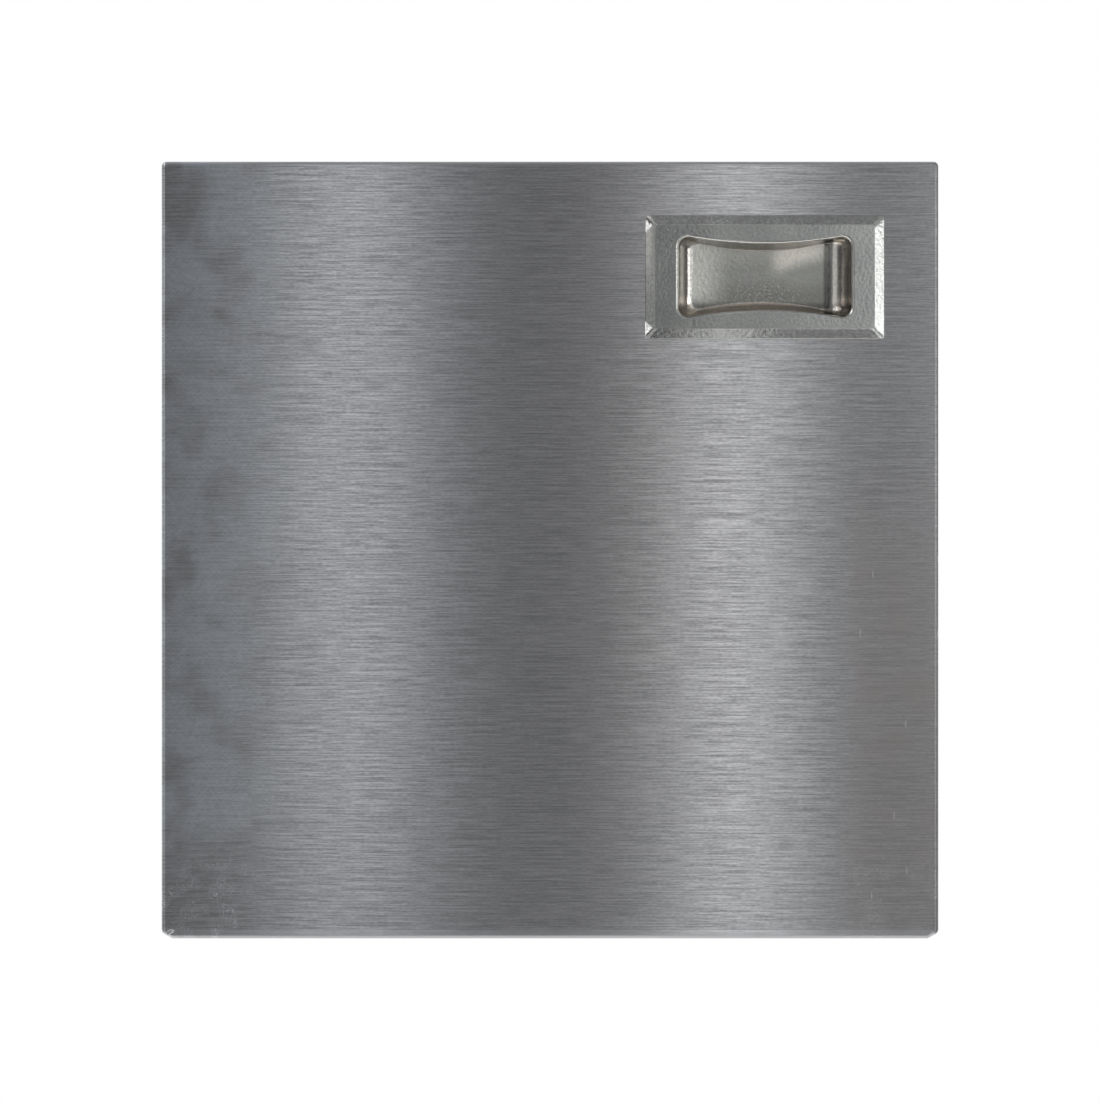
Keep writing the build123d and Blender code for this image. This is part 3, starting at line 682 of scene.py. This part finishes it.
rough = add(
    tree, "ShaderNodeMapRange", {"Value": spread.outputs[0], "To Min": 0.30, "To Max": 0.40}
)
tree.links.new(rough.outputs[0], rolled.inputs["Roughness"])
dress(mill_steel, "inner_liner")

# %% [markdown]
# Nuts, studs, screws and the strike are zinc plated in a barrel, which leaves a bright, faintly blue skin
# with a fine bloom. The rivets are upset stainless wire, the hinge leaves are tumbled with stones until
# their edges are soft, and the pins are cut from drawn wire. These differ in how fine their bloom is and in
# how bright they are, so one function makes all four from those facts.


# %% Small steel parts
def small_metal(name, dark, light, feature, roughness, scratches):
    """A metal with bloom of a given feature size in mm, and fine scratches of a given depth in mm."""
    material, tree, surface = start_finish(name, {"Metallic": 1.0})
    place = add(tree, "ShaderNodeTexCoord")
    bloom = add(
        tree,
        "ShaderNodeTexNoise",
        {"Vector": place.outputs["Object"], "Scale": per_mm(feature)[0], "Detail": 4.0, "Roughness": 0.65},
    )
    spread = add(
        tree, "ShaderNodeMapRange", {"Value": bloom.outputs["Fac"], "From Min": 0.35, "From Max": 0.65}
    )
    tone = add(
        tree,
        "ShaderNodeMix",
        {"Factor": spread.outputs[0], "A": linear(dark), "B": linear(light)},
        data_type="RGBA",
    )
    tree.links.new(tone.outputs["Result"], surface.inputs["Base Color"])
    rough = add(
        tree,
        "ShaderNodeMapRange",
        {"Value": spread.outputs[0], "To Min": roughness - 0.05, "To Max": roughness + 0.07},
    )
    tree.links.new(rough.outputs[0], surface.inputs["Roughness"])
    relief = add(
        tree,
        "ShaderNodeBump",
        {"Strength": 0.4, "Distance": scratches / 1000, "Height": bloom.outputs["Fac"]},
    )
    tree.links.new(relief.outputs[0], surface.inputs["Normal"])
    return material


zinc_pieces = ("pull_studs", "pull_nuts", "upper_leaf_screws", "lower_leaf_screws", "strike_plate")
rivets = ("liner_rivets", "strike_rivets")
leaves = ("upper_door_leaf", "lower_door_leaf", "upper_frame_leaf", "lower_frame_leaf")
pins = ("upper_hinge_pin", "lower_hinge_pin")
for pieces, facts in (
    (zinc_pieces, ("barrel_zinc_plated_steel", "#B4BAC0", "#D6DBE0", 1.2, 0.30, 0.01)),
    (rivets, ("upset_stainless_wire", "#B2B3B4", "#D2D3D3", 0.8, 0.28, 0.01)),
    (leaves, ("tumbled_stainless_strip", "#A3A4A6", "#C6C7C9", 2.0, 0.33, 0.02)),
    (pins, ("drawn_stainless_wire", "#B0B0B1", "#CFCFD0", 0.6, 0.24, 0.005)),
):
    dress(small_metal(*facts), *pieces)

# %% [markdown]
# The stiffener and the backing plates are cut from hot-dip galvanised sheet. Zinc freezes in crystals, the
# spangle, 6 to 12 mm across and each with its own grey. Cells of a Voronoi pattern are just that shape.

# %% Hot-dip galvanised steel
galvanised, tree, zinc = start_finish("hot_dip_galvanised_steel", {"Metallic": 1.0})
place = add(tree, "ShaderNodeTexCoord")
spangle = add(
    tree, "ShaderNodeTexVoronoi", {"Vector": place.outputs["Object"], "Scale": per_mm(8)[0]}
)
crystal = add(tree, "ShaderNodeSeparateColor", {"Color": spangle.outputs["Color"]})
tone = add(
    tree,
    "ShaderNodeMix",
    {"Factor": crystal.outputs["Red"], "A": linear("#9DA2A6"), "B": linear("#C2C7CB")},
    data_type="RGBA",
)
tree.links.new(tone.outputs["Result"], zinc.inputs["Base Color"])
rough = add(
    tree, "ShaderNodeMapRange", {"Value": crystal.outputs["Green"], "To Min": 0.35, "To Max": 0.55}
)
tree.links.new(rough.outputs[0], zinc.inputs["Roughness"])
dress(galvanised, "stiffener_channel", "upper_backing_plate", "lower_backing_plate")

# %% [markdown]
# The washers between the knuckles are natural nylon, punched from sheet: off-white, a little waxy, and light
# goes a short way into it, which the subsurface values give.

# %% Punched nylon
nylon, tree, polymer = start_finish(
    "punched_natural_nylon",
    {
        "Roughness": 0.42,
        "IOR": 1.53,
        "Subsurface Weight": 0.15,
        "Subsurface Radius": (1.0, 0.9, 0.7),
        "Subsurface Scale": 0.001,
    },
)
place = add(tree, "ShaderNodeTexCoord")
mottle = add(
    tree, "ShaderNodeTexNoise", {"Vector": place.outputs["Object"], "Scale": per_mm(1.5)[0], "Detail": 3.0}
)
tone = add(
    tree,
    "ShaderNodeMix",
    {"Factor": mottle.outputs["Fac"], "A": linear("#DAD6C8"), "B": linear("#F0EDE2")},
    data_type="RGBA",
)
tree.links.new(tone.outputs["Result"], polymer.inputs["Base Color"])
dress(nylon, "upper_hinge_washers", "lower_hinge_washers")

# %% [markdown]
# The bumpers that the door closes on are moulded rubber, nearly black, with the fine pores of the mould and
# pale dust on it. Dust is both lighter and duller than rubber, so one noise drives colour and roughness.

# %% Moulded rubber
rubber, tree, moulded = start_finish("moulded_black_rubber", {"IOR": 1.52})
place = add(tree, "ShaderNodeTexCoord")
dust = add(
    tree, "ShaderNodeTexNoise", {"Vector": place.outputs["Object"], "Scale": per_mm(2.5)[0], "Detail": 5.0}
)
pores = add(
    tree, "ShaderNodeTexNoise", {"Vector": place.outputs["Object"], "Scale": per_mm(0.4)[0], "Detail": 2.0}
)
settled = add(
    tree, "ShaderNodeMapRange", {"Value": dust.outputs["Fac"], "From Min": 0.45, "From Max": 0.75}
)
tone = add(
    tree,
    "ShaderNodeMix",
    {"Factor": settled.outputs[0], "A": linear("#1B1B1C"), "B": linear("#3A3937")},
    data_type="RGBA",
)
tree.links.new(tone.outputs["Result"], moulded.inputs["Base Color"])
rough = add(
    tree, "ShaderNodeMapRange", {"Value": settled.outputs[0], "To Min": 0.55, "To Max": 0.78}
)
tree.links.new(rough.outputs[0], moulded.inputs["Roughness"])
relief = add(
    tree, "ShaderNodeBump", {"Strength": 0.4, "Distance": 0.00003, "Height": pores.outputs["Fac"]}
)
tree.links.new(relief.outputs[0], moulded.inputs["Normal"])
dress(rubber, "upper_bumper", "lower_bumper")

# %% [markdown]
# The walls of the pan meet at the corners, and a short weld closes each clipped bottom corner. The right one
# has been ground flush, but on the left a small bright bead is left standing on the face, just inside the
# clip. A bead is a low dome with ripples along it, one for each drop of metal, so it is made of rows of
# points across it, whose height and width ripple from row to row. It is bowed, and sunk a little into the
# sheet that it is fused with.

# %% Weld bead on the left corner: its dome
half_length, half_width, crest, sunk, bow = 0.0021, 0.0012, 0.0004, 0.00005, 0.0005
ripple, ripple_count, end_width = 0.10, 7, 0.15
bead_middle = Vector((skin_low.x + 0.0047, skin_low.y + sunk, skin_low.z + 0.0038))
lengthwise, crosswise = Vector((0.87, 0, 0.5)), Vector((-0.5, 0, 0.87))
row_count, row_points = 33, 13
bead_mesh = bmesh.new()
rows = []
for i in range(row_count):
    t = 2 * i / (row_count - 1) - 1
    swell = math.sqrt(max(0.0, 1 - t * t)) * (1 + ripple * math.cos(ripple_count * math.pi * t))
    rows.append([])
    for k in range(row_points):
        angle = math.pi * k / (row_points - 1)
        side = half_width * (end_width + (1 - end_width) * swell) * math.cos(angle) - bow * t * t
        rise = (crest * swell + sunk) * math.sin(angle)
        point = bead_middle + lengthwise * half_length * t + crosswise * side - Vector((0, rise, 0))
        rows[-1].append(bead_mesh.verts.new(point))
for one, two in zip(rows, rows[1:]):
    for k in range(row_points):
        bead_mesh.faces.new((one[k - 1], one[k], two[k], two[k - 1]))
for end in (rows[0], rows[-1]):
    bead_mesh.faces.new(end)
bmesh.ops.recalc_face_normals(bead_mesh, faces=bead_mesh.faces)
print("bead of", row_count, "rows,", len(bead_mesh.faces), "faces")

# %% [markdown]
# Weld metal is the same stainless, but it has been melted and then lightly ground, so it is brighter and
# smoother than the sheet. The bead is fused to the door's skin, so it rides on the door.

# %% Weld bead on the left corner: on the door
bead_data = bpy.data.meshes.new("weld_bead")
bead_mesh.to_mesh(bead_data)
bead_mesh.free()
bead_data.shade_smooth()
bead_data.materials.append(small_metal("ground_stainless_weld", "#C6C8CA", "#E4E5E6", 0.9, 0.25, 0.02))
bead = bpy.data.objects.new("weld_bead", bead_data)
bpy.context.scene.collection.objects.link(bead)
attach(bead, "door")
print("bead", round(2000 * half_length, 1), "mm long")

# %% [markdown]
# The door hangs on its cabinet, so the floor lies a good way below it. It is a round, plain board: a square
# one would show its corners to some cameras.

# %% Floor: the board
floor_drop, floor_radius = 0.45, 0.62
floor_middle = Vector((door_middle.x, 0.0, skin_low.z - floor_drop))
floor_mesh = bmesh.new()
bmesh.ops.create_circle(floor_mesh, cap_ends=True, segments=128, radius=floor_radius)
bmesh.ops.translate(floor_mesh, verts=floor_mesh.verts, vec=floor_middle)
floor_data = bpy.data.meshes.new("floor")
floor_mesh.to_mesh(floor_data)
floor_mesh.free()
floor = bpy.data.objects.new("floor", floor_data)
bpy.context.scene.collection.objects.link(floor)
print("floor", round(1000 * floor_middle.z), "mm")

# %% [markdown]
# The board is painted pale. Rays from the camera, and mirrored or transmitted ones, see it paler by a glow
# that grows to the white of the backdrop at its rim, so no edge shows. Other rays see only the paint, so the
# glow lights nothing and the door's shadow stays.


# %% Floor: its paint
def seen_rays(tree, ray):
    """A socket that is 1 for rays from the camera, off a mirror or through glass."""
    seen = ray.outputs["Is Camera Ray"]
    for kind in ("Is Glossy Ray", "Is Transmission Ray"):
        seen = add(tree, "ShaderNodeMath", {0: seen, 1: ray.outputs[kind]}, operation="MAXIMUM").outputs[0]
    return seen


board, tree, paint = start_finish(
    "pale_painted_board", {"Roughness": 0.7, "Emission Color": linear("#FFFFFF")}
)
place = add(tree, "ShaderNodeTexCoord")
stipple = add(
    tree, "ShaderNodeTexNoise", {"Vector": place.outputs["Object"], "Scale": per_mm(40)[0], "Detail": 4.0}
)
tone = add(
    tree,
    "ShaderNodeMix",
    {"Factor": stipple.outputs["Fac"], "A": linear("#E3E3E2"), "B": linear("#EBEBEA")},
    data_type="RGBA",
)
tree.links.new(tone.outputs["Result"], paint.inputs["Base Color"])
from_middle = add(
    tree, "ShaderNodeVectorMath", {0: place.outputs["Object"], 1: floor_middle}, operation="DISTANCE"
)
paleness = add(
    tree,
    "ShaderNodeMapRange",
    {
        "Value": from_middle.outputs["Value"],
        "From Min": 0.5 * floor_radius,
        "From Max": floor_radius,
        "To Min": 0.45,
        "To Max": 0.90,
    },
    interpolation_type="SMOOTHSTEP",
)
seen = seen_rays(tree, add(tree, "ShaderNodeLightPath"))
glow = add(tree, "ShaderNodeMath", {0: paleness.outputs[0], 1: seen}, operation="MULTIPLY")
tree.links.new(glow.outputs[0], paint.inputs["Emission Strength"])
floor_data.materials.append(board)
print(board.name, "on floor")

# %% [markdown]
# Metal shows what is round it, so the room is part of its finish. A white backdrop stands behind the door.
# The side where the camera is stays dim, which is why the middle of the door is dark. It is lighter towards
# the side walls and overhead, and dim again beyond the walls, as at a doorway. The world's own directions
# make this room: camera rays see white, and so do mirrored and transmitted rays that leave towards the
# backdrop. All other rays meet one even grey, which lights the door from all round.

# %% Room
world = bpy.data.worlds.new("studio")
bpy.context.scene.world = world
world.use_nodes = True
tree = world.node_tree
tree.nodes.clear()
place = add(tree, "ShaderNodeTexCoord")
way = add(tree, "ShaderNodeSeparateXYZ", {0: place.outputs["Generated"]})
ray = add(tree, "ShaderNodeLightPath")
seen = seen_rays(tree, ray)
sideways = add(tree, "ShaderNodeMath", {0: way.outputs["X"]}, operation="ABSOLUTE").outputs[0]
side_wall = zone(tree, (sideways, 0.25, 0.70), (sideways, 0.95, 0.75))
overhead = zone(tree, (way.outputs["Z"], 0.35, 0.75))
backdrop = zone(tree, (way.outputs["Y"], -0.1, 0.5))
white = add(
    tree, "ShaderNodeMath", {0: backdrop, 1: ray.outputs["Is Camera Ray"]}, operation="MAXIMUM"
).outputs[0]
shown = linear("#5B5B5D")
for share, colour in ((side_wall, "#B8B8B8"), (overhead, "#9C9C9E"), (white, "#FFFFFF")):
    shown = add(
        tree, "ShaderNodeMix", {"Factor": share, "A": shown, "B": linear(colour)}, data_type="RGBA"
    ).outputs["Result"]
room = add(
    tree, "ShaderNodeMix", {"Factor": seen, "A": linear("#969696"), "B": shown}, data_type="RGBA"
)
light = add(tree, "ShaderNodeBackground", {"Color": room.outputs["Result"], "Strength": 1.0})
add(tree, "ShaderNodeOutputWorld", {"Surface": light.outputs[0]})
print("room made of", len(tree.nodes), "nodes")

# %% [markdown]
# The camera looks straight at the middle of the door, from two metres away, where a square door keeps its
# square outline and the walls of the cup hardly lean. The lens follows from that distance and from the width
# that the picture takes in at the door's face.

# %% Camera
camera_distance = 2.0
frame_width = 0.5843
sensor_width = 36.0
camera_data = bpy.data.cameras.new("camera")
camera_data.sensor_width = sensor_width
camera_data.lens = sensor_width * camera_distance / frame_width
camera = bpy.data.objects.new("camera", camera_data)
camera.location = (door_middle.x, skin_low.y - camera_distance, door_middle.z)
camera.rotation_euler = (math.pi / 2, 0, 0)
bpy.context.scene.collection.objects.link(camera)
bpy.context.scene.camera = camera
print("lens", round(camera_data.lens, 1), "mm")

# %% [markdown]
# Two tall strip lamps stand before the door, one on each side of the camera. Their reflections are the two
# bright bands of the brushed face, and a weak warm strip tints the inner side of the right band. A mirror
# at the door would show a lamp nearer the middle than it stands, by the ratio of the two distances, so each
# strip is placed by where its band is seen. Lamps differ only in place, size, brightness and tint, and one
# function makes them. It takes a radiance, the brightness that a mirror would show, and works out the power.


# %% Lamps: the strips
def soft_lamp(name, place, target, width, height, radiance, colour="#FFFFFF"):
    """A rectangular lamp that faces a target and glows with the same radiance all over."""
    data = bpy.data.lights.new(name, "AREA")
    data.shape = "RECTANGLE"
    data.size = width
    data.size_y = height
    data.energy = radiance * math.pi * width * height
    data.color = linear(colour)[:3]
    lamp = bpy.data.objects.new(name, data)
    lamp.location = place
    lamp.rotation_euler = (Vector(target) - Vector(place)).to_track_quat("-Z", "Y").to_euler()
    lamp.visible_camera = False
    bpy.context.scene.collection.objects.link(lamp)
    print(name, round(data.energy, 3), "W")


strip_distance = 0.55
mirror_ratio = 1 + strip_distance / camera_distance
for name, seen_at, over_middle, wide, tall, radiance, colour in (
    ("left_strip", -0.108, 0.18, 0.080, 0.98, 1.00, "#FAFCFF"),
    ("right_strip", 0.100, 0.12, 0.060, 1.10, 1.48, "#FFFFFF"),
    ("warm_strip", 0.066, 0.03, 0.050, 0.36, 0.16, "#FFE2CC"),
):
    x = door_middle.x + seen_at * mirror_ratio
    y = skin_low.y - strip_distance
    z = door_middle.z + over_middle
    soft_lamp(name, (x, y, z), (x, 0, z), wide, tall, radiance, colour)

# %% [markdown]
# A soft box far to the right is what the right-hand slope of the pull shows, and it lights the left wall of
# the cup. A taller wing lamp on the same side brightens the face towards its right edge. A large soft lamp
# high on the left lights the floor and gives the soft shadow.

# %% Lamps: soft boxes
pull_front = Vector((pull_middle.x, pull_low.y, pull_middle.z))
soft_lamp("right_soft_box", pull_front + Vector((0.86, -0.61, 0.0)), pull_front, 0.50, 0.28, 3.0)
soft_lamp("right_wing", door_middle + Vector((0.42, -0.62, 0.1)), door_middle, 0.28, 0.90, 0.85)
soft_lamp("high_left_lamp", (-0.95, -0.75, 1.35), door_middle, 0.9, 0.9, 2.4)

# %% [markdown]
# The Standard view shows a colour about as it is written, without a film curve.

# %% Look
bpy.context.scene.view_settings.view_transform = "Standard"
